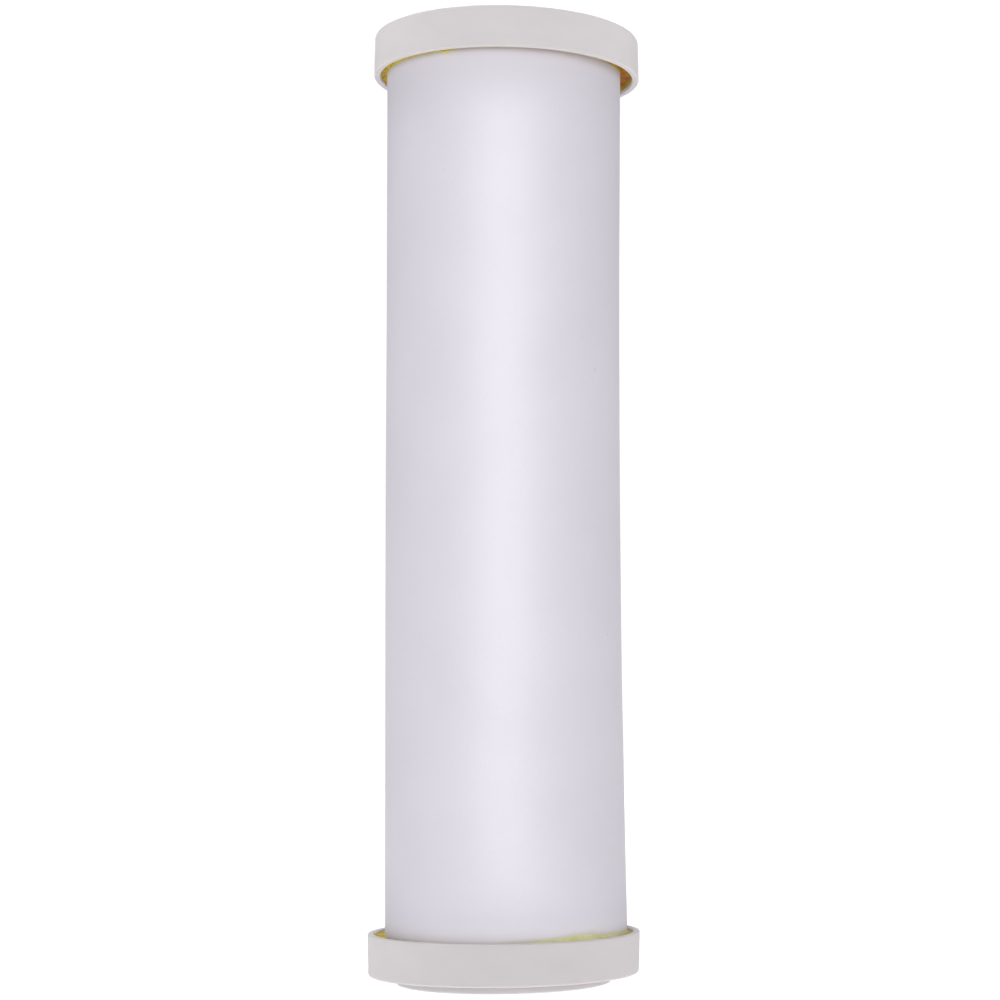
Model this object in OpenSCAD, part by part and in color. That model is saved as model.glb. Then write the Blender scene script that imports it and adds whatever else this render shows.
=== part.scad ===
// Replacement cartridge for a hand-pumped camping water filter.
//
// A porous ceramic sleeve is glued between two moulded end caps. Raw water stands round
// the sleeve and is pushed through its wall, then through a carbon block core into the
// collector tube. It leaves by the socket in the lower cap, which plugs onto the pump's
// nipple. Nothing on the cartridge moves: it is replaced whole.
//
// Millimetres. +Z is up, and the origin is the centre of the lower cap's standing face.

/* [Overall] */
// Length over both end caps
overall_l = 170; // [140:1:204]

/* [Ceramic sleeve] */
// Outside diameter of the sleeve at its lower end
sleeve_d = 42.6; // [35.5:0.1:52]
// How much narrower the sleeve's upper end is
sleeve_taper = 0.5; // [0:0.1:1]
// Thickness of the ceramic at the lower end
sleeve_wall = 7; // [5:0.1:8.4]
// Chamfer on the sleeve's sawn ends
sleeve_chamfer = 0.6; // [0.2:0.1:1]

/* [End caps] */
// Height of a cap's band, from the plate's outer face to the lip
cap_h = 7.3; // [6:0.1:10]
// Thickness of the band
band_t = 1.2; // [0.8:0.1:2]
// How far the band widens at its lip, as moulding draft
cap_draft = 0.15; // [0:0.01:0.3]
// Thickness of a cap's end plate
plate_t = 2; // [1.4:0.1:3]
// Fillet on a cap's outer edge
edge_r = 0.5; // [0.2:0.1:1]
// Fillet on the lip's two edges
lip_r = 0.3; // [0.1:0.05:0.35]
// Height of the ring that centres the sleeve's bore
tongue_h = 3.5; // [2.5:0.1:5]
// Thickness of that ring
tongue_t = 1.2; // [0.8:0.1:1.6]
// Diameter of the shallow well in the upper cap's face, where the mould's gate was
gate_well_d = 12; // [8:0.5:24]
// Depth of that well
gate_well_h = 0.7; // [0.4:0.05:1]
// Diameter of the gate's mark in the well
gate_mark_d = 1.8; // [1:0.1:3]
// Height of the gate's mark
gate_mark_h = 0.35; // [0.1:0.05:0.4]

/* [Standing boss] */
// Outside diameter of the boss under the lower cap
boss_d = 38; // [30:0.1:46]
// Height of the boss
boss_h = 1.6; // [1:0.1:3]
// Thickness of the boss's outer ring
boss_ring_t = 1.6; // [1:0.1:3]
// Number of ribs from the boss's ring to the socket's tower
boss_ribs = 8; // [4:1:12]
// Thickness of those ribs
rib_t = 1.4; // [0.8:0.1:2]
// Fillet on the boss's outer edge
boss_edge_r = 0.4; // [0.1:0.05:0.8]

/* [Outlet socket] */
// Bore that takes the pump's nipple
socket_d = 12; // [9:0.1:14.6]
// Length of the straight bore
socket_l = 9; // [7:0.5:12]
// Lead-in chamfer at the bore's mouth
mouth_chamfer = 0.8; // [0.4:0.1:1.2]
// Section of the two O-rings
oring_t = 1.8; // [1.5:0.1:2.2]
// Wall between the socket and the spigot's cup
shoulder_t = 1.5; // [1:0.1:2.5]
// Outside diameter of the core's spigot
spigot_d = 13.5; // [12.5:0.1:16.2]
// Depth of the cup that takes the spigot
cup_depth = 8; // [7:0.1:10]
// Wall of the tower round the socket and the cup
tower_t = 1.6; // [1.2:0.1:2]
// Number of gussets between the tower and the centring ring
gusset_count = 6; // [3:1:10]
// Thickness of the gussets
gusset_t = 1.2; // [0.8:0.1:2]
// How far the gussets stop below the ring's top
gusset_drop = 0.6; // [0.3:0.1:1.5]

/* [Potting] */
// Glue between the sleeve and the band, at the lower end
glue_gap = 1.4; // [0.8:0.1:2.4]
// Glue bed under each end of the sleeve
glue_bed = 0.6; // [0.3:0.1:1.2]
// How far the glue stops short of the lip
glue_recess = 1; // [0.4:0.1:2]
// Height of the glue inside the sleeve's bore
glue_inner_h = 2.2; // [1.5:0.1:2.4]

/* [Carbon core] */
// Clean-water gap between the sleeve and the fleece
flow_gap = 1.6; // [1:0.1:2.4]
// Thickness of the fleece round the carbon
fleece_t = 0.8; // [0.5:0.1:1.2]
// Bore of the carbon block
core_bore = 9; // [8:0.1:10.8]
// Thickness of the plates that close the core's ends
core_plate_t = 1.6; // [1.2:0.1:2.4]
// Height of those plates' rims
core_rim_h = 2; // [1.5:0.1:3]
// Hot-melt layer between a plate and the carbon
core_glue_t = 0.4; // [0.2:0.1:0.8]
// Wall of the collector tube
collector_t = 1; // [0.6:0.1:1.2]
// How deep the collector tube sits in each plate
collector_seat_h = 0.8; // [0.4:0.1:0.9]
// Length of the peg that plugs the collector's upper end
peg_h = 3; // [2:0.5:6]
// Diameter of the collector's holes
hole_d = 1.6; // [1:0.1:2.4]
// Distance between rows of holes along the collector
hole_pitch = 8; // [6:0.5:14]
// Gap between the tower's top and the lower core plate
core_lift = 0.5; // [0.2:0.1:2]

/* [Cushion] */
// How far the cushion stands past the upper centring ring
cushion_spare = 0.8; // [0.3:0.1:3]
// Diameter of the stub that centres the cushion
stub_d = 8; // [5:0.5:14]
// Length of that stub
stub_h = 2; // [1:0.1:2.5]

/* [Outlet screen] */
// Thickness of the screen's frame
screen_t = 0.8; // [0.6:0.1:1.2]
// Width of that frame
screen_rim_w = 2; // [1:0.1:2.5]
// Thickness of its mesh
mesh_t = 0.3; // [0.2:0.05:0.5]
// Square opening of the mesh
mesh_hole = 0.7; // [0.5:0.05:0.9]
// Distance between openings
mesh_pitch = 1.2; // [1.1:0.05:1.6]

/* [Hidden] */
$fn = 96;

joint_overlap = 0.2;     // how far one feature runs into the wall that it grows from
tongue_clear = 0.7;      // between the centring ring and what stands inside or outside it
collector_clear = 0.2;   // radial clearance of the collector tube in the carbon's bore
slip_clear = 0.25;       // radial clearance of the spigot in its cup
seat_clear = 0.05;       // radial clearance of tube seats and pegs
block_clear = 0.1;       // radial clearance of the carbon block in a plate's rim
screen_clear = 0.1;      // radial clearance of the screen in the cup
gland_step = 0.4;        // undercut that keeps the socket's O-ring in
oring_squeeze = 0.25;    // how far the spigot's O-ring is flattened in its groove
oring_side = 0.3;        // room beside that O-ring, on each side
oring_ease = 0.02;       // room round the socket's O-ring

// Sleeve
sleeve_r = sleeve_d / 2;
sleeve_top_r = sleeve_r - sleeve_taper / 2;
bore_r = sleeve_r - sleeve_wall;
plate_low_z = boss_h + plate_t;              // inner face of the lower cap's plate
plate_up_z = overall_l - plate_t;            // inner face of the upper cap's plate
sleeve_low_z = plate_low_z + glue_bed;
sleeve_up_z = plate_up_z - glue_bed;

// Caps
band_in_r = sleeve_r + glue_gap;             // inside of the band at the plate
cap_r = band_in_r + band_t;                  // outside of the band at the plate
tongue_r = bore_r - tongue_clear;
tongue_in_r = tongue_r - tongue_t;
boss_r = boss_d / 2;

// Outlet tower, from the standing face up
socket_r = socket_d / 2;
gland_r = socket_r + gland_step;
cup_r = spigot_d / 2 + slip_clear;
tower_r = max(gland_r, cup_r) + tower_t;
socket_z = mouth_chamfer + socket_l;         // top of the straight bore
shoulder_z = socket_z + oring_t;             // underside of the shoulder
cup_z = shoulder_z + shoulder_t;             // floor of the spigot's cup
tower_z = cup_z + cup_depth;

// Core
fleece_r = bore_r - flow_gap;
core_r = fleece_r - fleece_t;
core_bore_r = core_bore / 2;
collector_r = core_bore_r - collector_clear;
passage_r = collector_r - collector_t;       // water's way out, from the collector down
spigot_z = cup_z + screen_t;                 // the spigot stands on the screen
core_low_z = tower_z + core_lift;            // underside of the lower core plate
cushion_h = tongue_h + cushion_spare;
core_up_z = plate_up_z - cushion_h;          // top of the upper core plate
core_z0 = core_low_z + core_plate_t + core_glue_t;
core_z1 = core_up_z - core_plate_t - core_glue_t;
oring_z = spigot_z + (tower_z - spigot_z) / 2;
groove_r = cup_r - oring_t + oring_squeeze;

// Rectangle in the radius-height plane
module box2d(r0, r1, z0, z1) {
  translate([r0, z0]) square([r1 - r0, z1 - z0]);
}

// What a fillet takes off a corner at the origin whose material lies toward -r and -z
module fillet_cut(r) {
  translate([-r, -r])
    difference() {
      square(2 * r);
      circle(r = r);
    }
}

// Places a section that is drawn from a cap's outer plate face inward
module at_lower() translate([0, boss_h]) children();
module at_upper() translate([0, overall_l]) mirror([0, 1]) children();

// Half section of the ceramic sleeve
module sleeve_section() {
  c = sleeve_chamfer;
  polygon([
    [bore_r, sleeve_low_z], [sleeve_r - c, sleeve_low_z], [sleeve_r, sleeve_low_z + c],
    [sleeve_top_r, sleeve_up_z - c], [sleeve_top_r - c, sleeve_up_z], [bore_r, sleeve_up_z]
  ]);
}

// Half section that both caps share: plate, drafted band and tongue
module cup_section() {
  lip_in_r = band_in_r + cap_draft;
  lip_out_r = cap_r + cap_draft;
  difference() {
    polygon([
      [0, 0], [cap_r, 0], [cap_r, edge_r], [lip_out_r, cap_h],
      [lip_in_r, cap_h], [band_in_r, plate_t], [0, plate_t]
    ]);
    translate([cap_r, 0]) mirror([0, 1]) fillet_cut(edge_r);
    translate([lip_out_r, cap_h]) fillet_cut(lip_r);
    translate([lip_in_r, cap_h]) mirror([1, 0]) fillet_cut(lip_r);
  }
  box2d(tongue_in_r, tongue_r, plate_t, plate_t + tongue_h);
}

// Half section of the trough that glue fills round and under a sleeve end
module trough_section() {
  box2d(tongue_r, bore_r + sleeve_wall / 2, plate_t, plate_t + glue_inner_h);
  box2d(bore_r + sleeve_wall / 2, cap_r, plate_t, cap_h - glue_recess);
}

// Ribs that run out from radius r0 to radius r1
module ribs(count, r0, r1, thickness, height) {
  for (i = [0 : count - 1])
    rotate([0, 0, i * 360 / count])
      translate([r0, -thickness / 2, 0])
        cube([r1 - r0, thickness, height]);
}

module ceramic_sleeve() color("ghostwhite")
  rotate_extrude() sleeve_section();

module upper_end_cap() color("ivory") {
  difference() {
    rotate_extrude() at_upper() cup_section();
    translate([0, 0, overall_l - gate_well_h]) cylinder(d = gate_well_d, h = 2 * gate_well_h);
  }
  translate([0, 0, overall_l - gate_well_h - joint_overlap])
    cylinder(d = gate_mark_d, h = gate_mark_h + joint_overlap);
  translate([0, 0, plate_up_z - stub_h]) cylinder(d = stub_d, h = stub_h + joint_overlap);
}

// Half section of everything bored into the tower, from the standing face up
module outlet_bores() {
  polygon([
    [0, -1], [socket_r + mouth_chamfer + 1, -1], [socket_r, mouth_chamfer], [socket_r, socket_z],
    [gland_r, socket_z], [gland_r, shoulder_z], [passage_r, shoulder_z], [passage_r, cup_z],
    [cup_r, cup_z], [cup_r, tower_z + 1], [0, tower_z + 1]
  ]);
}

module lower_end_cap() color("ivory")
  difference() {
    union() {
      rotate_extrude() {
        at_lower() cup_section();
        difference() {
          box2d(boss_r - boss_ring_t, boss_r, 0, boss_h + joint_overlap);
          translate([boss_r, 0]) mirror([0, 1]) fillet_cut(boss_edge_r);
        }
        box2d(0, tower_r, 0, tower_z);
      }
      ribs(boss_ribs, tower_r - joint_overlap, boss_r - boss_ring_t + joint_overlap,
        rib_t, boss_h + joint_overlap);
      translate([0, 0, plate_low_z - joint_overlap])
        ribs(gusset_count, tower_r - joint_overlap, tongue_in_r + joint_overlap,
          gusset_t, tongue_h - gusset_drop + joint_overlap);
    }
    rotate_extrude() outlet_bores();
  }

module upper_potting() color("goldenrod")
  rotate_extrude()
    difference() {
      at_upper() trough_section();
      at_upper() cup_section();
      sleeve_section();
    }

module lower_potting() color("goldenrod")
  rotate_extrude()
    difference() {
      at_lower() trough_section();
      at_lower() cup_section();
      sleeve_section();
    }

module carbon_core() color("dimgray")
  rotate_extrude() box2d(core_bore_r, core_r, core_z0, core_z1);

module core_fleece() color("whitesmoke")
  rotate_extrude()
    box2d(core_r, fleece_r, core_low_z + core_plate_t + core_rim_h,
      core_up_z - core_plate_t - core_rim_h);

// Rows of four holes, each row turned half a step from the one below
module collector_tube() color("aliceblue") {
  z0 = core_low_z + core_plate_t - collector_seat_h;
  z1 = core_up_z - core_plate_t + collector_seat_h;
  rows = floor((core_z1 - core_z0) / hole_pitch);
  first_z = (core_z0 + core_z1 - (rows - 1) * hole_pitch) / 2;
  difference() {
    rotate_extrude() box2d(passage_r, collector_r, z0, z1);
    for (row = [0 : rows - 1], side = [0, 1])
      translate([0, 0, first_z + row * hole_pitch])
        rotate([90, 0, 90 * side + 45 * (row % 2)])
          cylinder(d = hole_d, h = 3 * collector_r, center = true, $fn = 24);
  }
}

// Half section of a core end plate, drawn from its outer face inward
module core_plate_section() {
  difference() {
    box2d(0, fleece_r, 0, core_plate_t);
    box2d(0, collector_r + seat_clear, core_plate_t - collector_seat_h, core_plate_t + 1);
  }
  box2d(core_r + block_clear, fleece_r, core_plate_t - joint_overlap, core_plate_t + core_rim_h);
}

module upper_core_plate() color("white")
  rotate_extrude()
    translate([0, core_up_z]) mirror([0, 1]) {
      core_plate_section();
      box2d(0, passage_r - seat_clear, core_plate_t - collector_seat_h - joint_overlap,
        core_plate_t - collector_seat_h + peg_h);
    }

module lower_core_plate() color("white")
  rotate_extrude()
    difference() {
      union() {
        translate([0, core_low_z]) core_plate_section();
        box2d(0, spigot_d / 2, spigot_z, core_low_z + joint_overlap);
      }
      box2d(0, passage_r, spigot_z - 1, core_low_z + core_plate_t + 1);
      box2d(groove_r, cup_r, oring_z - oring_t / 2 - oring_side, oring_z + oring_t / 2 + oring_side);
    }

module upper_core_glue() color("wheat")
  rotate_extrude() box2d(core_bore_r, core_r + block_clear, core_z1, core_z1 + core_glue_t);

module lower_core_glue() color("wheat")
  rotate_extrude() box2d(core_bore_r, core_r + block_clear, core_z0 - core_glue_t, core_z0);

module core_cushion() color("lightsteelblue")
  rotate_extrude()
    box2d(stub_d / 2 + seat_clear, tongue_in_r - tongue_clear, core_up_z, plate_up_z);

// The spigot's O-ring, flattened between its groove and the cup
module spigot_oring() color("black")
  rotate_extrude()
    intersection() {
      translate([(groove_r + cup_r) / 2, oring_z]) circle(d = oring_t);
      box2d(groove_r, cup_r, oring_z - oring_t, oring_z + oring_t);
    }

// The socket's O-ring, which the nose of the pump's nipple presses on
module socket_oring() color("black")
  rotate_extrude()
    translate([gland_r - oring_t / 2, socket_z + oring_t / 2])
      circle(d = oring_t - 2 * oring_ease);

// Framed mesh that keeps carbon fines out of the outlet
module outlet_screen() color("silver") {
  rim_r = cup_r - screen_clear;
  mesh_r = rim_r - screen_rim_w;
  reach = floor(mesh_r / mesh_pitch);
  translate([0, 0, cup_z])
    rotate_extrude() box2d(mesh_r, rim_r, 0, screen_t);
  translate([0, 0, cup_z + (screen_t - mesh_t) / 2])
    linear_extrude(mesh_t)
      difference() {
        circle(r = mesh_r + joint_overlap);
        for (i = [-reach : reach], j = [-reach : reach])
          if (norm([i, j]) * mesh_pitch + mesh_hole / sqrt(2) < mesh_r)
            translate([i, j] * mesh_pitch) square(mesh_hole, center = true);
      }
}

ceramic_sleeve();
upper_end_cap();
lower_end_cap();
upper_potting();
lower_potting();
carbon_core();
core_fleece();
collector_tube();
upper_core_plate();
lower_core_plate();
upper_core_glue();
lower_core_glue();
core_cushion();
spigot_oring();
socket_oring();
outlet_screen();
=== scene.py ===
"""A ceramic water filter cartridge: the looks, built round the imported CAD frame.

Metres, +Z up, the cartridge standing on the floor at z = 0 and seen from -Y.
"""

import math

import bpy
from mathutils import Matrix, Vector, noise


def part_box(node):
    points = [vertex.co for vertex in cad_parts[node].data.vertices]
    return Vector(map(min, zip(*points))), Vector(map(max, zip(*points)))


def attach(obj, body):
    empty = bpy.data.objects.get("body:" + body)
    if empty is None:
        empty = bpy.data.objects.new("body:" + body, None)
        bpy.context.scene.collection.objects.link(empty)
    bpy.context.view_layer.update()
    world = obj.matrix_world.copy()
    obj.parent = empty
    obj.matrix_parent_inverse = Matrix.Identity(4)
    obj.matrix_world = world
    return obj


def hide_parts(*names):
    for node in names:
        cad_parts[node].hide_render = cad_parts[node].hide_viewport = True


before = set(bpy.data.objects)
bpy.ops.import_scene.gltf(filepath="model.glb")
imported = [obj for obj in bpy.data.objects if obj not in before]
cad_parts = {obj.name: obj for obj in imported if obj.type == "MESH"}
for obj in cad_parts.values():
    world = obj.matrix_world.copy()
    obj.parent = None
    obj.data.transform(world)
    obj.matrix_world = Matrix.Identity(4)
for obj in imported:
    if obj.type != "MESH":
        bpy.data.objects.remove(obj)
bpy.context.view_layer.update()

MM = 0.001
FRONT = -90.0        # the angle round the axis that faces the camera, in degrees


# ---------------------------------------------------------------- sizes, from the frame


def corner_radii(node, low, high):
    """Distances from the axis of a CAD node's corners between two heights."""
    corners = [v.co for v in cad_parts[node].data.vertices]
    return [math.hypot(c.x, c.y) for c in corners if low <= c.z <= high]


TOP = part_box("upper_end_cap")[1].z
CAP_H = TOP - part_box("upper_end_cap")[0].z
PLATE_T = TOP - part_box("upper_potting")[1].z
BOSS_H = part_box("lower_potting")[0].z - PLATE_T
UPPER_LIP = TOP - CAP_H
LOWER_LIP = BOSS_H + CAP_H
SLEEVE_Z0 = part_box("ceramic_sleeve")[0].z
SLEEVE_Z1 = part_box("ceramic_sleeve")[1].z
SLEEVE_R0 = max(corner_radii("ceramic_sleeve", SLEEVE_Z0, SLEEVE_Z0 + MM))
SLEEVE_R1 = max(corner_radii("ceramic_sleeve", SLEEVE_Z1 - MM, SLEEVE_Z1))
BORE_R = min(corner_radii("ceramic_sleeve", SLEEVE_Z0, SLEEVE_Z1))
TONGUE_R = min(corner_radii("upper_potting", 0, TOP))
SLEEVE_CHAMFER = SLEEVE_R0 - max(corner_radii("ceramic_sleeve", SLEEVE_Z0, SLEEVE_Z0 + MM / 10))

# How this one cartridge's sleeve was fired and glued: a little waisted, bent and off-centre
WAIST = -0.15 * MM
FLARE = 0.32 * MM
FLARE_FROM = 0.165   # share of the sleeve's length from its middle where the flare begins
FLARE_CURVE = 1.3
OFF_CENTRE = -0.51 * MM
BEND = 1.0 * MM
BEND_FROM = 0.72     # share of the sleeve's length up to which it bends
RIPPLE = 0.03 * MM
RIPPLE_SIZE = 24 * MM
SAWN = 0.06 * MM     # unevenness of the sleeve's sawn ends
SLEEVE_TURNS = 360
LIP_ZONE = 5 * MM    # how far from each lip the sleeve's rows stand closer together
DULL = 13 * MM       # how far from each lip the ceramic is duller, and how far below the upper one painted shade greys it
PAINTED_LIGHT_REACH = DULL / 3      # how far above the lower lip painted light makes the ceramic paler


# ---------------------------------------------------------------- camera and light

# Where the camera stands, in metres and degrees, with its lens and sensor in millimetres
CAMERA_PLACE = (0.0, -0.4365, 0.0494)
CAMERA_ANGLES = (94.756, 0.259, -5.223)
CAMERA_LENS = 87.09
CAMERA_SHIFT = -0.227
SENSOR = 36
WORLD_FADE = 0.4


def make_camera():
    camera = bpy.data.objects.new("camera", bpy.data.cameras.new("camera"))
    bpy.context.scene.collection.objects.link(camera)
    camera.data.sensor_width = SENSOR
    camera.data.lens = CAMERA_LENS
    camera.data.shift_x = CAMERA_SHIFT
    camera.data.clip_start = 0.01
    camera.data.clip_end = 50
    camera.location = CAMERA_PLACE
    camera.rotation_euler = [math.radians(angle) for angle in CAMERA_ANGLES]
    bpy.context.scene.camera = camera


def make_softbox(name, place, size, power, target=(0, 0, TOP / 2)):
    """An area light that faces a target."""
    light = bpy.data.objects.new(name, bpy.data.lights.new(name, "AREA"))
    bpy.context.scene.collection.objects.link(light)
    light.data.shape = "RECTANGLE"
    light.data.size, light.data.size_y = size
    light.data.energy = power
    light.location = place
    light.rotation_euler = (Vector(place) - Vector(target)).to_track_quat("Z", "Y").to_euler()
    return light


def make_world(horizon, zenith, backdrop):
    """White light all round, brighter low down. The camera sees it as a white backdrop.

    horizon and zenith are its strengths as a light. It fades from one to the other between
    the level and a direction whose height is WORLD_FADE of its length.
    """
    world = bpy.data.worlds.new("studio")
    world.use_nodes = True
    nodes, links = world.node_tree.nodes, world.node_tree.links
    background = nodes["Background"]
    background.inputs["Color"].default_value = (1, 1, 1, 1)
    way = nodes.new("ShaderNodeSeparateXYZ")
    links.new(nodes.new("ShaderNodeTexCoord").outputs["Generated"], way.inputs["Vector"])
    height = nodes.new("ShaderNodeMapRange")
    height.interpolation_type = "SMOOTHSTEP"
    height.inputs["From Max"].default_value = WORLD_FADE
    height.inputs["To Min"].default_value = horizon
    height.inputs["To Max"].default_value = zenith
    links.new(way.outputs["Z"], height.inputs["Value"])
    strength = nodes.new("ShaderNodeMapRange")
    strength.inputs["To Max"].default_value = backdrop
    links.new(nodes.new("ShaderNodeLightPath").outputs["Is Camera Ray"], strength.inputs["Value"])
    links.new(height.outputs["Result"], strength.inputs["To Min"])
    links.new(strength.outputs["Result"], background.inputs["Strength"])
    bpy.context.scene.world = world


# ---------------------------------------------------------------- materials


class Nodes:
    """A material's node tree, with short calls that add nodes and return their outputs."""

    def __init__(self, name):
        self.material = bpy.data.materials.new(name)
        self.material.use_nodes = True
        self.tree = self.material.node_tree
        self.shader = self.tree.nodes["Principled BSDF"]
        self.place = self.tree.nodes.new("ShaderNodeTexCoord").outputs["Object"]

    def add(self, kind, inputs, **settings):
        node = self.tree.nodes.new(kind)
        for key, value in settings.items():
            setattr(node, key, value)
        for key, value in inputs.items():
            self.set(node.inputs[key], value)
        return node

    def set(self, socket, value):
        if isinstance(value, bpy.types.NodeSocket):
            self.tree.links.new(value, socket)
        else:
            socket.default_value = value

    def stretch(self, x, y, z):
        """Object coordinates, stretched so that a pattern is finer along a larger factor."""
        return self.add(
            "ShaderNodeVectorMath", {0: self.place, 1: (x, y, z)}, operation="MULTIPLY"
        ).outputs["Vector"]

    def noise(self, size, detail=2.0, place=None, rough=0.5):
        """Noise whose features are about size metres across."""
        inputs = {
            "Vector": place or self.place,
            "Scale": 1 / size,
            "Detail": detail,
            "Roughness": rough,
        }
        return self.add("ShaderNodeTexNoise", inputs).outputs["Fac"]

    def cells(self, size, feature="F1", output="Distance"):
        inputs = {"Vector": self.place, "Scale": 1 / size}
        return self.add("ShaderNodeTexVoronoi", inputs, feature=feature).outputs[output]

    def maths(self, operation, a, b=0.0):
        return self.add("ShaderNodeMath", {0: a, 1: b}, operation=operation).outputs["Value"]

    def span(self, value, low, high, to_low=0.0, to_high=1.0):
        """value moved from the range low..high to the range to_low..to_high, and kept in it."""
        inputs = {"Value": value, "From Min": low, "From Max": high}
        inputs.update({"To Min": to_low, "To Max": to_high})
        return self.add("ShaderNodeMapRange", inputs).outputs["Result"]

    def smooth(self, value, low, high):
        """0 at low and 1 at high, easing in and out."""
        inputs = {"Value": value, "From Min": low, "From Max": high}
        return self.add("ShaderNodeMapRange", inputs, interpolation_type="SMOOTHSTEP").outputs[0]

    def mix(self, share, a, b):
        """Colour a turned into b by share. Inputs 6 and 7 and output 2 are the colour ones."""
        node = self.add("ShaderNodeMix", {}, data_type="RGBA")
        self.set(node.inputs[0], share)
        self.set(node.inputs[6], rgba(a))
        self.set(node.inputs[7], rgba(b))
        return node.outputs[2]

    def bump(self, height, depth, normal=None):
        """A bump whose full height is depth metres."""
        inputs = {"Height": height, "Distance": depth}
        if normal is not None:
            inputs["Normal"] = normal
        return self.add("ShaderNodeBump", inputs).outputs["Normal"]

    def attribute(self, name):
        return self.add("ShaderNodeAttribute", {}, attribute_name=name).outputs["Fac"]

    def axis(self, letter):
        """The X, Y or Z object coordinate."""
        split = self.add("ShaderNodeSeparateXYZ", {"Vector": self.place})
        return split.outputs[letter]

    def near(self, point, radius):
        """1 within radius of a point, falling to 0 just outside it."""
        inputs = {0: self.place, 1: point}
        apart = self.add("ShaderNodeVectorMath", inputs, operation="DISTANCE").outputs["Value"]
        return self.span(apart, radius, radius * 1.6, 1.0, 0.0)

    def finish(self, **inputs):
        """Sets the Principled shader's sockets, whose names are given with _ for a space."""
        for key, value in inputs.items():
            self.set(self.shader.inputs[key.replace("_", " ")], value)
        return self.material


def rgba(colour):
    if isinstance(colour, bpy.types.NodeSocket):
        return colour
    return (*colour, 1.0)


def on_sleeve(angle, height):
    """The point on the sleeve's outside at an angle in degrees and a height."""
    turn = math.radians(angle)
    radius = sleeve_outside(turn, height)
    return (radius * math.cos(turn), radius * math.sin(turn), height)


# Faint grey grains fired into the clay: angle from the front in degrees, height, radius
GRAINS = [
    (49, 0.1077, 0.16 * MM),
    (59, 0.0612, 0.14 * MM),
    (-31, 0.1420, 0.10 * MM),
    (152, 0.0870, 0.15 * MM),
    (-118, 0.1210, 0.14 * MM),
    (-160, 0.0410, 0.12 * MM),
]


def ceramic_material():
    """Unglazed fine ceramic: cool white, satin, finely turned, stained where glue soaked in.

    It is duller towards both lips. Painted shade greys it towards the upper lip, and painted
    light pales it just above the lower one.
    """
    n = Nodes("ceramic")
    clouds = n.noise(18 * MM, detail=3)
    grain = n.noise(0.35 * MM, detail=3, rough=0.6)
    pores = n.span(n.cells(0.55 * MM), 0.05, 0.28)
    turning = n.noise(1.1 * MM, detail=2, place=n.stretch(0.04, 0.04, 1))
    colour = n.mix(n.span(clouds, 0.35, 0.65), (0.618, 0.594, 0.662), (0.643, 0.618, 0.688))
    colour = n.mix(n.span(grain, 0.3, 0.7, 0.0, 0.35), colour, (0.585, 0.565, 0.630))
    # Painted shade: the colour is darker in the pores.
    colour = n.mix(n.span(pores, 0.0, 1.0, 0.12, 0.0), colour, (0.48, 0.46, 0.50))
    level = n.axis("Z")
    # Painted shade: the colour greys towards the upper lip, under its overhang. The same mask
    # also dulls the roughness there.
    upper_dull_and_shade = n.smooth(level, UPPER_LIP - DULL, UPPER_LIP)
    colour = n.mix(n.maths("MULTIPLY", upper_dull_and_shade, 0.75), colour, (0.550, 0.530, 0.580))
    # Painted light: the colour is paler just above the lower lip, where the lip shades the
    # sleeve.
    lower_painted_light = n.smooth(level, LOWER_LIP + PAINTED_LIGHT_REACH, LOWER_LIP)
    colour = n.mix(n.maths("MULTIPLY", lower_painted_light, 0.8), colour, (0.740, 0.720, 0.770))
    stain = n.maths("MULTIPLY", n.attribute("stain"), n.span(clouds, 0.3, 0.7, 0.45, 0.7))
    colour = n.mix(stain, colour, (0.60, 0.58, 0.43))
    for angle, height, radius in GRAINS:
        speck = n.near(on_sleeve(FRONT + angle, height), radius)
        colour = n.mix(n.maths("MULTIPLY", speck, 0.25), colour, (0.22, 0.19, 0.18))
    relief = n.maths("ADD", n.maths("MULTIPLY", grain, 0.5), n.maths("MULTIPLY", pores, 0.35))
    relief = n.maths("ADD", relief, n.maths("MULTIPLY", turning, 0.35))
    ends = n.maths("ADD", n.smooth(level, LOWER_LIP + DULL, LOWER_LIP), upper_dull_and_shade)
    dulled = n.maths("MULTIPLY", ends, 0.3)
    roughness = n.maths("ADD", n.span(grain, 0.3, 0.7, 0.46, 0.54), dulled)
    return n.finish(
        Base_Color=colour,
        Roughness=roughness,
        Normal=n.bump(relief, 0.02 * MM),
        Specular_IOR_Level=0.7,
    )


def cap_material():
    """Moulded off-white plastic: satin, faintly flow-marked, with a few scuffs."""
    n = Nodes("cap_plastic")
    flow = n.noise(9 * MM, detail=3, place=n.stretch(1, 1, 2.2))
    texture = n.noise(0.16 * MM, detail=2)
    colour = n.mix(n.span(flow, 0.3, 0.7), (0.606, 0.578, 0.586), (0.628, 0.598, 0.604))
    scuffs = n.noise(1.6 * MM, detail=4, place=n.stretch(1, 1, 5), rough=0.65)
    scuffed = n.span(scuffs, 0.60, 0.72)
    colour = n.mix(n.maths("MULTIPLY", scuffed, 0.25), colour, (0.60, 0.57, 0.56))
    worn = n.maths("MULTIPLY", scuffed, 0.12)
    roughness = n.maths("ADD", n.span(flow, 0.3, 0.7, 0.52, 0.60), worn)
    height = n.maths("ADD", n.maths("MULTIPLY", texture, 0.6), n.maths("MULTIPLY", flow, 1.2))
    return n.finish(
        Base_Color=colour,
        Roughness=roughness,
        Normal=n.bump(height, 0.02 * MM),
        Specular_IOR_Level=0.2,
        Diffuse_Roughness=1.0,
    )


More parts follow.
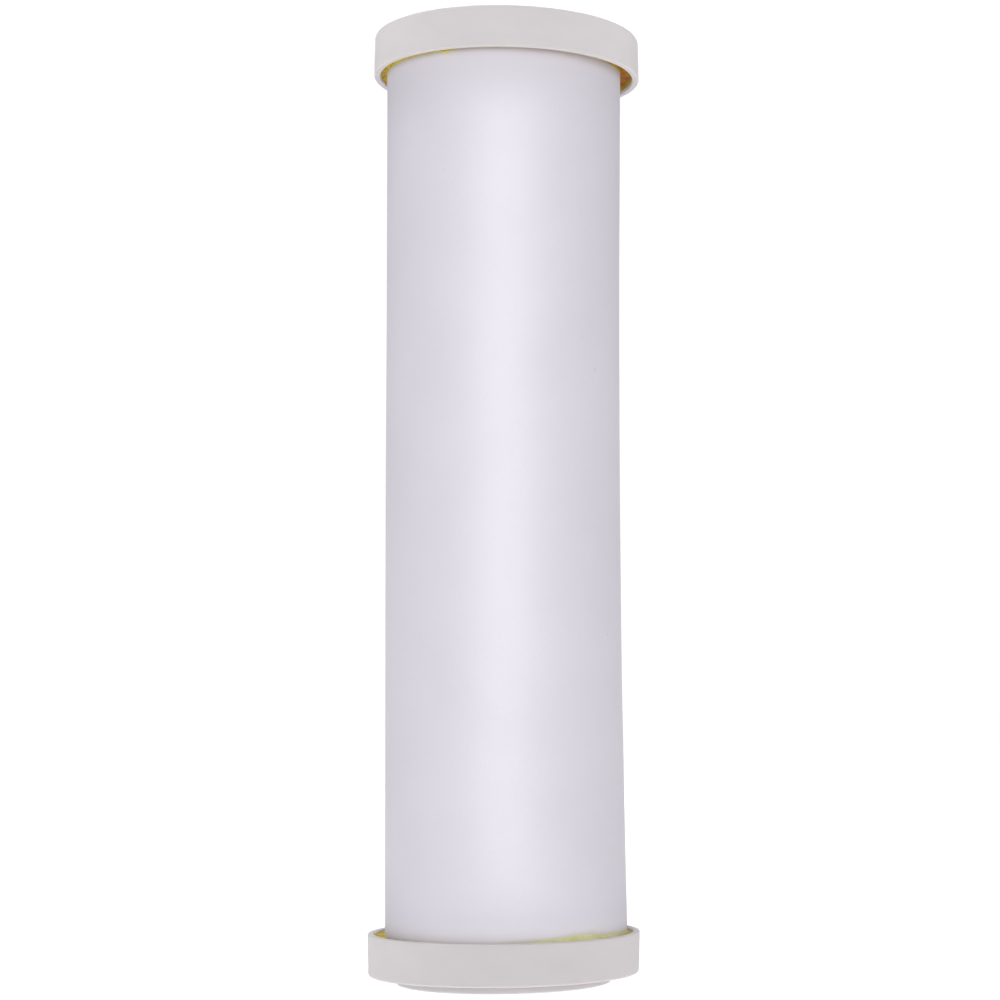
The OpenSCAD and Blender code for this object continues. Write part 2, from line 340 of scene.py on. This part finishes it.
def glue_material():
    """Cured adhesive: amber, a yellow film where it thins, and brown as painted shade deep in the
    recess.
    """
    n = Nodes("adhesive")
    deep = n.attribute("depth")
    streaks = n.noise(2.2 * MM, detail=4, rough=0.6)
    # Painted shade: brown for adhesive deep inside the cap's recess.
    shaded_brown = n.mix(n.span(streaks, 0.42, 0.58), (0.33, 0.10, 0.004), (0.50, 0.24, 0.012))
    amber = n.mix(n.span(streaks, 0.42, 0.58), (0.46, 0.32, 0.014), (0.64, 0.50, 0.055))
    film = n.mix(n.span(streaks, 0.4, 0.6), (0.66, 0.66, 0.26), (0.72, 0.72, 0.44))
    colour = n.mix(n.span(deep, 0.03, 0.14), film, amber)
    colour = n.mix(n.span(deep, 0.30, 0.60), colour, shaded_brown)
    bubbles = n.span(n.cells(1.1 * MM), 0.08, 0.16, 1.0, 0.0)
    colour = n.mix(n.maths("MULTIPLY", bubbles, 0.2), colour, (0.66, 0.46, 0.10))
    height = n.maths("SUBTRACT", n.noise(1.3 * MM, detail=3), n.maths("MULTIPLY", bubbles, 0.3))
    return n.finish(
        Base_Color=colour,
        Roughness=n.span(streaks, 0.3, 0.7, 0.40, 0.55),
        Normal=n.bump(height, 0.08 * MM),
        Specular_IOR_Level=0.05,
    )


def carbon_material():
    """Carbon powder pressed with a binder: dead black, gritty, with open pits that painted shade
    makes darker still.
    """
    n = Nodes("carbon_block")
    grit = n.noise(0.5 * MM, detail=4, rough=0.7)
    pits = n.span(n.cells(1.4 * MM), 0.1, 0.35)
    colour = n.mix(n.span(grit, 0.35, 0.65), (0.012, 0.012, 0.013), (0.050, 0.050, 0.052))
    # Painted shade: the colour is darker in the pits.
    colour = n.mix(n.span(pits, 0.0, 1.0, 0.7, 0.0), colour, (0.004, 0.004, 0.004))
    height = n.maths("ADD", n.maths("MULTIPLY", grit, 0.5), pits)
    return n.finish(Base_Color=colour, Roughness=0.92, Normal=n.bump(height, 0.25 * MM))


def fleece_material():
    """Non-woven fleece: fine crossing fibres, thin spots and a calendered sheen."""
    n = Nodes("fleece")
    along = n.noise(0.30 * MM, detail=4, place=n.stretch(1, 1, 0.14), rough=0.7)
    across = n.noise(0.30 * MM, detail=4, place=n.stretch(0.18, 0.18, 1), rough=0.7)
    fibres = n.maths("MAXIMUM", along, across)
    thin_spots = n.noise(4 * MM, detail=3)
    colour = n.mix(n.span(fibres, 0.4, 0.72), (0.60, 0.60, 0.58), (0.86, 0.86, 0.84))
    colour = n.mix(n.span(thin_spots, 0.55, 0.7, 0.0, 0.4), colour, (0.48, 0.48, 0.47))
    return n.finish(
        Base_Color=colour,
        Roughness=0.88,
        Normal=n.bump(fibres, 0.12 * MM),
        Sheen_Weight=0.25,
        Sheen_Roughness=0.5,
    )


def core_plastic_material():
    """Natural polypropylene: milky white with swirls from the mould."""
    n = Nodes("core_plastic")
    swirl = n.noise(5 * MM, detail=3)
    texture = n.noise(0.2 * MM, detail=2)
    colour = n.mix(n.span(swirl, 0.3, 0.7), (0.70, 0.70, 0.67), (0.78, 0.78, 0.76))
    return n.finish(
        Base_Color=colour,
        Roughness=n.span(swirl, 0.3, 0.7, 0.38, 0.50),
        Normal=n.bump(texture, 0.012 * MM),
    )


def hot_melt_material():
    """Cured hot-melt: cream, slightly wavy and waxy."""
    n = Nodes("hot_melt")
    waves = n.noise(2.5 * MM, detail=3)
    colour = n.mix(n.span(waves, 0.3, 0.7), (0.66, 0.58, 0.40), (0.78, 0.72, 0.56))
    return n.finish(Base_Color=colour, Roughness=0.42, Normal=n.bump(waves, 0.12 * MM))


def foam_material():
    """Open-cell foam: grey-blue, with painted shade darkening its small cells."""
    n = Nodes("foam")
    cells = n.span(n.cells(0.7 * MM), 0.10, 0.45)
    tone = n.noise(4 * MM, detail=2)
    colour = n.mix(n.span(tone, 0.3, 0.7), (0.30, 0.34, 0.40), (0.38, 0.42, 0.48))
    # Painted shade: the colour is darker in the cells.
    colour = n.mix(n.span(cells, 0.0, 1.0, 0.75, 0.0), colour, (0.10, 0.12, 0.15))
    return n.finish(Base_Color=colour, Roughness=0.95, Normal=n.bump(cells, 0.25 * MM))


def rubber_material():
    """Black moulded rubber with a dusty bloom."""
    n = Nodes("seal_rubber")
    bloom = n.noise(1.4 * MM, detail=3)
    colour = n.mix(n.span(bloom, 0.45, 0.7), (0.012, 0.012, 0.013), (0.035, 0.035, 0.036))
    return n.finish(
        Base_Color=colour,
        Roughness=n.span(bloom, 0.3, 0.7, 0.38, 0.55),
        Normal=n.bump(n.noise(0.12 * MM), 0.010 * MM),
    )


def steel_material():
    """Fine stainless wire and pressed rim, lightly drawn."""
    n = Nodes("screen_steel")
    drawn = n.noise(0.4 * MM, detail=3, place=n.stretch(1, 0.2, 1))
    colour = n.mix(n.span(drawn, 0.3, 0.7), (0.50, 0.50, 0.49), (0.66, 0.66, 0.65))
    return n.finish(
        Base_Color=colour,
        Metallic=1.0,
        Roughness=n.span(drawn, 0.3, 0.7, 0.25, 0.40),
        Normal=n.bump(drawn, 0.006 * MM),
    )


def floor_material():
    """Matt white acrylic that glows a little, as a lit product table does."""
    n = Nodes("floor")
    dust = n.noise(30 * MM, detail=2)
    return n.finish(
        Base_Color=n.mix(dust, (0.19, 0.19, 0.19), (0.21, 0.21, 0.21)),
        Roughness=0.9,
        Specular_IOR_Level=0.0,
        Emission_Color=(1, 1, 1, 1),
        Emission_Strength=0.96,
    )


# ---------------------------------------------------------------- mesh building


def mesh_object(name, points, faces, material, sharp=35):
    """A new smooth-shaded mesh object, with edges sharper than sharp degrees kept crisp."""
    mesh = bpy.data.meshes.new(name)
    mesh.from_pydata(points, [], faces)
    mesh.materials.append(material)
    mesh.shade_smooth()
    mesh.set_sharp_from_angle(angle=math.radians(sharp))
    made = bpy.data.objects.new(name, mesh)
    bpy.context.scene.collection.objects.link(made)
    return made


def ring_solid(name, section, turns, material, sharp=35):
    """A closed ring. section(angle) gives its cross-section there, as (radius, height) points."""
    points, faces = [], []
    for i in range(turns):
        angle = 2 * math.pi * i / turns
        rows = section(angle)
        points += [(r * math.cos(angle), r * math.sin(angle), z) for r, z in rows]
    count = len(points) // turns
    for i in range(turns):
        here, there = i * count, (i + 1) % turns * count
        for j in range(count):
            k = (j + 1) % count
            faces.append((here + j, there + j, there + k, here + k))
    return mesh_object(name, points, faces, material, sharp)


def steps(start, end, count):
    """count + 1 evenly spaced values from start to end."""
    return [start + (end - start) * i / count for i in range(count + 1)]


def fade(share):
    """A smooth step from 0 to 1."""
    share = min(max(share, 0.0), 1.0)
    return share * share * (3 - 2 * share)


WANDER_R = 0.022     # the radius, in metres, where wander's features have their stated size


def wander(angle, height, size, seed=0.0):
    """Smooth noise from -1 to 1 on the cylinder, with features about size metres across."""
    around = WANDER_R / size
    place = Vector((around * math.cos(angle), around * math.sin(angle), height / size + seed))
    return noise.noise(place)


# ---------------------------------------------------------------- ceramic sleeve


def sleeve_share(height):
    """How far up the sleeve a height is, from 0 at its foot to 1 at its top."""
    return (height - SLEEVE_Z0) / (SLEEVE_Z1 - SLEEVE_Z0)


def sleeve_shift(height):
    """How far the sleeve's axis is off the cartridge's, along X, at a height."""
    bent = max(1 - sleeve_share(height) / BEND_FROM, 0)
    return OFF_CENTRE + BEND * bent ** 2


def sleeve_outside(angle, height):
    """Radius of the sleeve's outside from the cartridge's axis."""
    share = sleeve_share(height)
    flared = max(abs(share - 0.5) - FLARE_FROM, 0) / (0.5 - FLARE_FROM)
    radius = SLEEVE_R0 + (SLEEVE_R1 - SLEEVE_R0) * share
    radius += WAIST + FLARE * flared ** FLARE_CURVE
    radius += RIPPLE * wander(angle, height, RIPPLE_SIZE)
    return radius + sleeve_shift(height) * math.cos(angle)


def sleeve_stain(angle, height):
    """How much adhesive the ceramic has soaked up at a point of its outside, from 0 to 1."""
    low = (height - LOWER_LIP - level_at(angle, LOWER_EDGE, LOWER_SEED)) / SOAK
    high = (UPPER_LIP - height - level_at(angle, UPPER_EDGE, UPPER_SEED)) / SOAK
    patchy = 0.3 * wander(angle, height, 2 * MM, 4.0)
    return max(fade(1 - low + patchy), fade(1 - high + patchy))


def sleeve_inside(angle, height):
    """Radius of the sleeve's bore from the cartridge's axis."""
    return BORE_R + sleeve_shift(height) * math.cos(angle)


def sleeve_rows():
    """The heights of the outside's rows, close together at the lips, where glue may stand."""
    low, high = SLEEVE_Z0 + SLEEVE_CHAMFER, SLEEVE_Z1 - SLEEVE_CHAMFER
    low_lip, high_lip = LOWER_LIP + LIP_ZONE, UPPER_LIP - LIP_ZONE
    rows = steps(low, low_lip, 40) + steps(low_lip, high_lip, 100)[1:]
    return rows + steps(high_lip, high, 40)[1:]


def sleeve_section(angle):
    """The sleeve's cross-section: up its outside, over the top, down the bore and back."""
    outer = [(sleeve_outside(angle, z), z) for z in sleeve_rows()]
    ends = []
    for z in (SLEEVE_Z1, SLEEVE_Z0):
        wall = (sleeve_inside(angle, z), sleeve_outside(angle, z) - SLEEVE_CHAMFER)
        across = [(r, z + SAWN * wander(angle, r, 3 * MM)) for r in steps(*wall, 6)]
        ends.append(across)
    inner = [(sleeve_inside(angle, z), z) for z in steps(SLEEVE_Z1, SLEEVE_Z0, 40)[1:-1]]
    return outer + ends[0][::-1] + inner + ends[1]


def make_sleeve(material):
    """The ceramic sleeve, with the adhesive that each point has soaked up kept on it."""
    sleeve = ring_solid("sleeve", sleeve_section, SLEEVE_TURNS, material, sharp=30)
    unstained = len(sleeve_section(0)) - len(sleeve_rows())
    stains = []
    for i in range(SLEEVE_TURNS):
        angle = 2 * math.pi * i / SLEEVE_TURNS
        stains += [sleeve_stain(angle, z) for z in sleeve_rows()] + [0.0] * unstained
    store(sleeve, "stain", stains)
    place(sleeve, "ceramic_sleeve", "ceramic")


# ---------------------------------------------------------------- adhesive

UPPER_SEED = 8.0
LOWER_SEED = 3.0
GLUE_TURNS = 720
GLUE_STEPS = 22      # rows of the adhesive's open surface, from the sleeve to the cap
SOAK = 0.7 * MM      # how far adhesive soaks into the ceramic past its edge
RAGGED = 0.07        # how ragged its levels are, in mm
LUMPS = 0.12 * MM    # how lumpy its open surface is
DEEP = 2.4 * MM      # how far inside the lip its depth, which sets its colour and its brown painted shade, is full
SHALLOW = 0.12       # how deep it looks, as a share, at the lip itself
LAP = 0.02 * MM      # how far it laps into the cap and the sleeve, so that no gap shows
IN_BORE = 1.6 * MM   # how far it stands up the inside of the sleeve
CREEP = 0.1 * MM     # how much further it stands at the bore than at the centring ring

# The adhesive's heights past the lip, in mm, at angles from the front in degrees: its edge on
# the sleeve, the bottom of the trough between, and its edge on the cap's wall. Below 0 it is
# inside the cap, and above 0 it is smeared up the ceramic.
UPPER_EDGE = [
    (-180, -0.8), (-120, -0.5), (-90, -0.35), (-72, -0.24), (-45, -0.22), (-34, -0.22),
    (-30, 0.30), (-26, -0.15), (-18, -0.7), (20, -0.9), (50, -0.8), (66, -0.8),
    (90, -1.4), (125, -1.2), (150, -0.9),
]
UPPER_TROUGH = [(-180, -1.0), (-90, -0.85), (-30, -1.0), (40, -1.4), (75, -2.4), (110, -1.7)]
UPPER_WALL = [(-180, -0.5), (-95, -0.25), (-30, -0.6), (50, -0.6), (80, -0.25), (120, -0.4)]
LOWER_EDGE = [
    (-180, -0.6), (-120, -0.6), (-84, -0.15), (-74, -0.8), (-10, -0.8), (4, -0.15), (11, 0.08),
    (18, 0.28), (26, 0.45), (35, 0.75), (43, 0.85), (49, 0.48), (60, 0.35), (72, 0.2),
    (95, 0.05), (120, -0.4),
]
LOWER_TROUGH = [
    (-180, -1.2), (-84, -0.4), (-66, -1.4), (0, -1.2), (35, -0.2), (80, -0.3), (120, -0.9),
]
LOWER_WALL = [
    (-180, -1.1), (-84, -0.5), (-66, -1.2), (0, -1.0), (40, -0.45), (80, -0.4), (120, -0.8),
]


def level_at(angle, stops, seed):
    """The height past the lip that the stops give at an angle, a little ragged."""
    degrees = (math.degrees(angle) - FRONT + 180) % 360 - 180
    stops = stops + [(180, stops[0][1])]
    after = next(i for i, stop in enumerate(stops) if stop[0] >= degrees and i > 0)
    (a, low), (b, high) = stops[after - 1], stops[after]
    height = low + (high - low) * fade((degrees - a) / (b - a))
    ragged = wander(angle, 0, 2.2 * MM, seed) + 0.5 * wander(angle, 0, 0.8 * MM, seed + 3)
    return (height + RAGGED * ragged) * MM


def make_glue(name, node, lip, outward, levels, seed, material):
    """The adhesive in one cap. outward is 1 if the lip faces up and -1 if it faces down.

    Its section runs along the open surface from sleeve to cap, down the cap's wall and in
    along the plate. Then it goes up the centring ring, across to the sleeve's bore, round the
    sleeve's end and back up its outside.
    """
    sleeve_end = SLEEVE_Z0 if outward > 0 else SLEEVE_Z1
    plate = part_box(node)[0].z if outward > 0 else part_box(node)[1].z
    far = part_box(node)[1].z if outward > 0 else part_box(node)[0].z
    wall_at_plate = max(corner_radii(node, plate - MM / 10, plate + MM / 10))
    wall_at_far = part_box(node)[1].x
    inner_top = sleeve_end + outward * IN_BORE
    depths = []

    def wall(z):
        share = (z - plate) / (far - plate)
        return wall_at_plate + (wall_at_far - wall_at_plate) * share + LAP

    def section(angle):
        edge, trough, brim = (
            level_at(angle, stops, seed + index) for index, stops in enumerate(levels)
        )
        rows = []
        for t in steps(0, 1, GLUE_STEPS):
            level = trough + (edge - trough) * (1 - t) ** 4 + (brim - trough) * t ** 4
            lumps = LUMPS * wander(angle, t * 3 * MM, 1.3 * MM, seed + 9)
            level += lumps * math.sin(math.pi * t)
            z = lip + outward * level
            inside, outside = sleeve_outside(angle, z) - LAP / 2, wall(z)
            rows.append((inside + (outside - inside) * fade(t), z))
            # The depth that sets the colour, and its brown painted shade, is less at the sleeve
            # and the wall, where the film thins.
            middle = 0.3 + 0.7 * math.sin(math.pi * t)
            depths.append(fade(SHALLOW - level / DEEP) * middle)
        surface = len(rows)
        rows += [(wall(z), z) for z in steps(rows[-1][1], plate, 3)[1:]]
        rows += [(r, plate) for r in steps(rows[-1][0], TONGUE_R, 3)[1:]]
        rows += [(TONGUE_R, z) for z in steps(plate, inner_top, 2)[1:]]
        bore = sleeve_inside(angle, sleeve_end)
        rows.append((bore, inner_top + outward * CREEP))
        rows.append((bore, sleeve_end))
        shoulder = sleeve_end + outward * SLEEVE_CHAMFER
        rows.append((sleeve_outside(angle, shoulder) - SLEEVE_CHAMFER, sleeve_end))
        rows.append((sleeve_outside(angle, shoulder) - LAP, shoulder))
        depths.extend([1.0] * (len(rows) - surface))
        return rows

    glue = ring_solid(name, section, GLUE_TURNS, material, sharp=60)
    store(glue, "depth", depths)
    if outward > 0:
        glue.data.flip_normals()
    place(glue, node, "potting")


def store(piece, name, values):
    """Keeps one value a vertex, for a material to read."""
    layer = piece.data.attributes.new(name, "FLOAT", "POINT")
    layer.data.foreach_set("value", values)


def place(piece, node, slot):
    """The piece rides with the cartridge, and its CAD node is hidden."""
    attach(piece, "root")
    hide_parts(node)


# ---------------------------------------------------------------- core parts


def make_cushion(material):
    """A foam ring, pressed flat on its faces and swollen at its sides."""
    low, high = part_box("core_cushion")
    inner_r = min(corner_radii("core_cushion", low.z, high.z))
    outer_r = high.x
    bulge = 0.9 * MM
    corner = 0.5 * MM
    slack = corner * 0.2
    uneven = 0.10 * MM

    def section(angle):
        rows = []
        for z in steps(low.z, high.z, 12):
            share = (z - low.z) / (high.z - low.z)
            side = math.sin(math.pi * share) ** 0.6 if 0 < share < 1 else 0
            ripple = uneven * wander(angle, z, 2.5 * MM)
            rows.append((outer_r - bulge * (1 - side) - slack + ripple * side, z))
        for r in steps(rows[-1][0], inner_r + corner, 5)[1:]:
            rows.append((r, high.z))
        for z in steps(high.z, low.z, 8)[1:-1]:
            share = (z - low.z) / (high.z - low.z)
            rows.append((inner_r + corner * (1 - math.sin(math.pi * share)), z))
        for r in steps(inner_r + corner, rows[0][0], 5)[:-1]:
            rows.append((r, low.z))
        return rows

    cushion = ring_solid("foam_cushion", section, 120, material)
    place(cushion, "core_cushion", "foam")


def make_fleece(material):
    """One long strip of fleece, wound twice round the carbon block with a free edge."""
    low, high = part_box("core_fleece")
    inner_r = min(corner_radii("core_fleece", low.z, high.z))
    gap = 0.02 * MM
    crease = 0.012 * MM
    trim = 0.1 * MM
    thick = (high.x - inner_r) / 2 - 2 * gap
    turns = 1.97
    columns = 300
    rows = 60
    start = math.radians(FRONT + 205)

    def corner(i, z, outside):
        share = i / columns
        angle = start + share * turns * 2 * math.pi
        radius = inner_r + gap + share * turns * (thick + gap) + (thick if outside else 0)
        radius += crease * wander(angle, z, 6 * MM)
        radius = min(radius, high.x)
        return (radius * math.cos(angle), radius * math.sin(angle), z)

    heights = steps(low.z + trim, high.z - trim, rows)
    points = [corner(i, z, False) for i in range(columns + 1) for z in heights]
    points += [corner(i, z, True) for i in range(columns + 1) for z in heights]
    count = rows + 1
    back = (columns + 1) * count
    faces = []
    for i in range(columns):
        for j in range(rows):
            a, b = i * count + j, (i + 1) * count + j
            faces.append((a, a + 1, b + 1, b))
            faces.append((back + a, back + b, back + b + 1, back + a + 1))
        for j in (0, rows):
            a, b = i * count + j, (i + 1) * count + j
            side = (a, b, back + b, back + a)
            faces.append(side if j == 0 else side[::-1])
    for i in (0, columns):
        for j in range(rows):
            a = i * count + j
            side = (a, back + a, back + a + 1, a + 1)
            faces.append(side if i == 0 else side[::-1])
    fleece = mesh_object("fleece_wrap", points, faces, material)
    place(fleece, "core_fleece", "fleece")


RIM_WIDTH = 2 * MM
RIM_LIP = 0.15 * MM        # the bevel of the rim's edges
RIM_TURNS = 96
RIM_GRIP = 0.3 * MM        # how far the wires run into the rim
WIRE_R = 0.085 * MM
WIRE_PITCH = 0.55 * MM
WIRE_SIDES = 8
WIRE_STEPS = 6             # sections of a wire for each wire that it crosses


def make_rim(low, high, material):
    """The screen's pressed steel rim."""
    outer = high.x
    inner = outer - RIM_WIDTH
    section = [
        (outer - RIM_LIP, low.z), (outer, low.z + RIM_LIP), (outer, high.z - RIM_LIP),
        (outer - RIM_LIP, high.z), (inner + RIM_LIP, high.z), (inner, high.z - RIM_LIP),
        (inner, (low.z + high.z) / 2), (inner, low.z + RIM_LIP), (inner + RIM_LIP, low.z),
    ]
    return ring_solid("screen_rim", lambda angle: section, RIM_TURNS, material, sharp=30)


def wire_rings(k, along_x, reach, middle):
    """The rings of points round the wire that is k pitches off the centre."""
    off = k * WIRE_PITCH
    half = math.sqrt((reach + RIM_GRIP) ** 2 - off ** 2)
    count = max(int(half * 2 / WIRE_PITCH) * WIRE_STEPS, 2 * WIRE_STEPS)
    over = k if along_x else k + 1
    rings = []
    for t in steps(-half, half, count):
        level = middle + WIRE_R * math.cos(math.pi * t / WIRE_PITCH + math.pi * over)
        for side in range(WIRE_SIDES):
            turn = 2 * math.pi * side / WIRE_SIDES
            across, up = WIRE_R * math.cos(turn), WIRE_R * math.sin(turn)
            here = (t, off + across) if along_x else (off + across, t)
            rings.append((*here, level + up))
    return rings


def wire_faces(first, count, along_x):
    """The faces of a wire whose rings of points start at first: its sides, then its ends."""
    faces = []
    for i in range(count):
        for side in range(WIRE_SIDES):
            a = first + i * WIRE_SIDES + side
            b = first + i * WIRE_SIDES + (side + 1) % WIRE_SIDES
            faces.append((a, b, b + WIRE_SIDES, a + WIRE_SIDES))
    last = first + count * WIRE_SIDES
    faces.append(tuple(range(first, first + WIRE_SIDES))[::-1])
    faces.append(tuple(range(last, last + WIRE_SIDES)))
    return faces if along_x else [face[::-1] for face in faces]


def make_wires(low, high, material):
    """The screen's woven wires, which pass over and under each other."""
    reach = high.x - RIM_WIDTH
    each_side = int(reach / WIRE_PITCH)
    points, faces = [], []
    for along_x in (True, False):
        for k in range(-each_side, each_side + 1):
            rings = wire_rings(k, along_x, reach, (low.z + high.z) / 2)
            faces += wire_faces(len(points), len(rings) // WIRE_SIDES - 1, along_x)
            points += rings
    return mesh_object("screen_wires", points, faces, material, sharp=60)


def make_screen(material):
    """A woven wire disc, pinched in a pressed steel rim."""
    low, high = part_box("outlet_screen")
    for piece in (make_rim(low, high, material), make_wires(low, high, material)):
        place(piece, "outlet_screen", "screen_steel")


# ---------------------------------------------------------------- the scene

FLOOR_HALF = 12.0    # half the floor's width, in metres


def dress(material, slot, *nodes):
    """Gives CAD nodes, whose own shape stays, a material."""
    for node in nodes:
        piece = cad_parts[node]
        piece.data.materials.clear()
        piece.data.materials.append(material)


def make_floor():
    """A wide floor, whose far edge melts into the backdrop."""
    half = FLOOR_HALF
    corners = [(-half, -half, 0), (half, -half, 0), (half, half, 0), (-half, half, 0)]
    floor = mesh_object("floor", corners, [(0, 1, 2, 3)], floor_material())


def make_lights():
    """Soft light from the front, from above and from behind, and one only for reflections."""
    make_world(horizon=0.99, zenith=0.25, backdrop=1.05)
    make_softbox("front_softbox", (-0.02, -0.9, 0.14), (0.6, 0.4), 3.5)
    gloss = make_softbox("gloss_softbox", (0.03, -0.9, 0.13), (1.2, 0.9), 6.8)
    gloss.visible_diffuse = False
    make_softbox("top_softbox", (-0.1, 0.15, 1.2), (0.8, 0.8), 9.0)
    back = make_softbox("back_softbox", (0.0, 0.9, 0.3), (0.6, 0.5), 2.0)
    back.visible_glossy = False
    back.visible_camera = False


def main():
    bpy.context.scene.view_settings.view_transform = "Standard"
    make_camera()
    make_lights()
    make_floor()

    make_sleeve(ceramic_material())
    adhesive = glue_material()
    lower = (LOWER_EDGE, LOWER_TROUGH, LOWER_WALL)
    upper = (UPPER_EDGE, UPPER_TROUGH, UPPER_WALL)
    make_glue("lower_glue", "lower_potting", LOWER_LIP, 1, lower, LOWER_SEED, adhesive)
    make_glue("upper_glue", "upper_potting", UPPER_LIP, -1, upper, UPPER_SEED, adhesive)

    dress(cap_material(), "cap_plastic", "upper_end_cap", "lower_end_cap")
    dress(carbon_material(), "carbon", "carbon_core")
    dress(
        core_plastic_material(), "core_plastic",
        "collector_tube", "upper_core_plate", "lower_core_plate",
    )
    dress(hot_melt_material(), "hot_melt", "upper_core_glue", "lower_core_glue")
    dress(rubber_material(), "seal_rubber", "spigot_oring", "socket_oring")
    make_cushion(foam_material())
    make_fleece(fleece_material())
    make_screen(steel_material())


main()
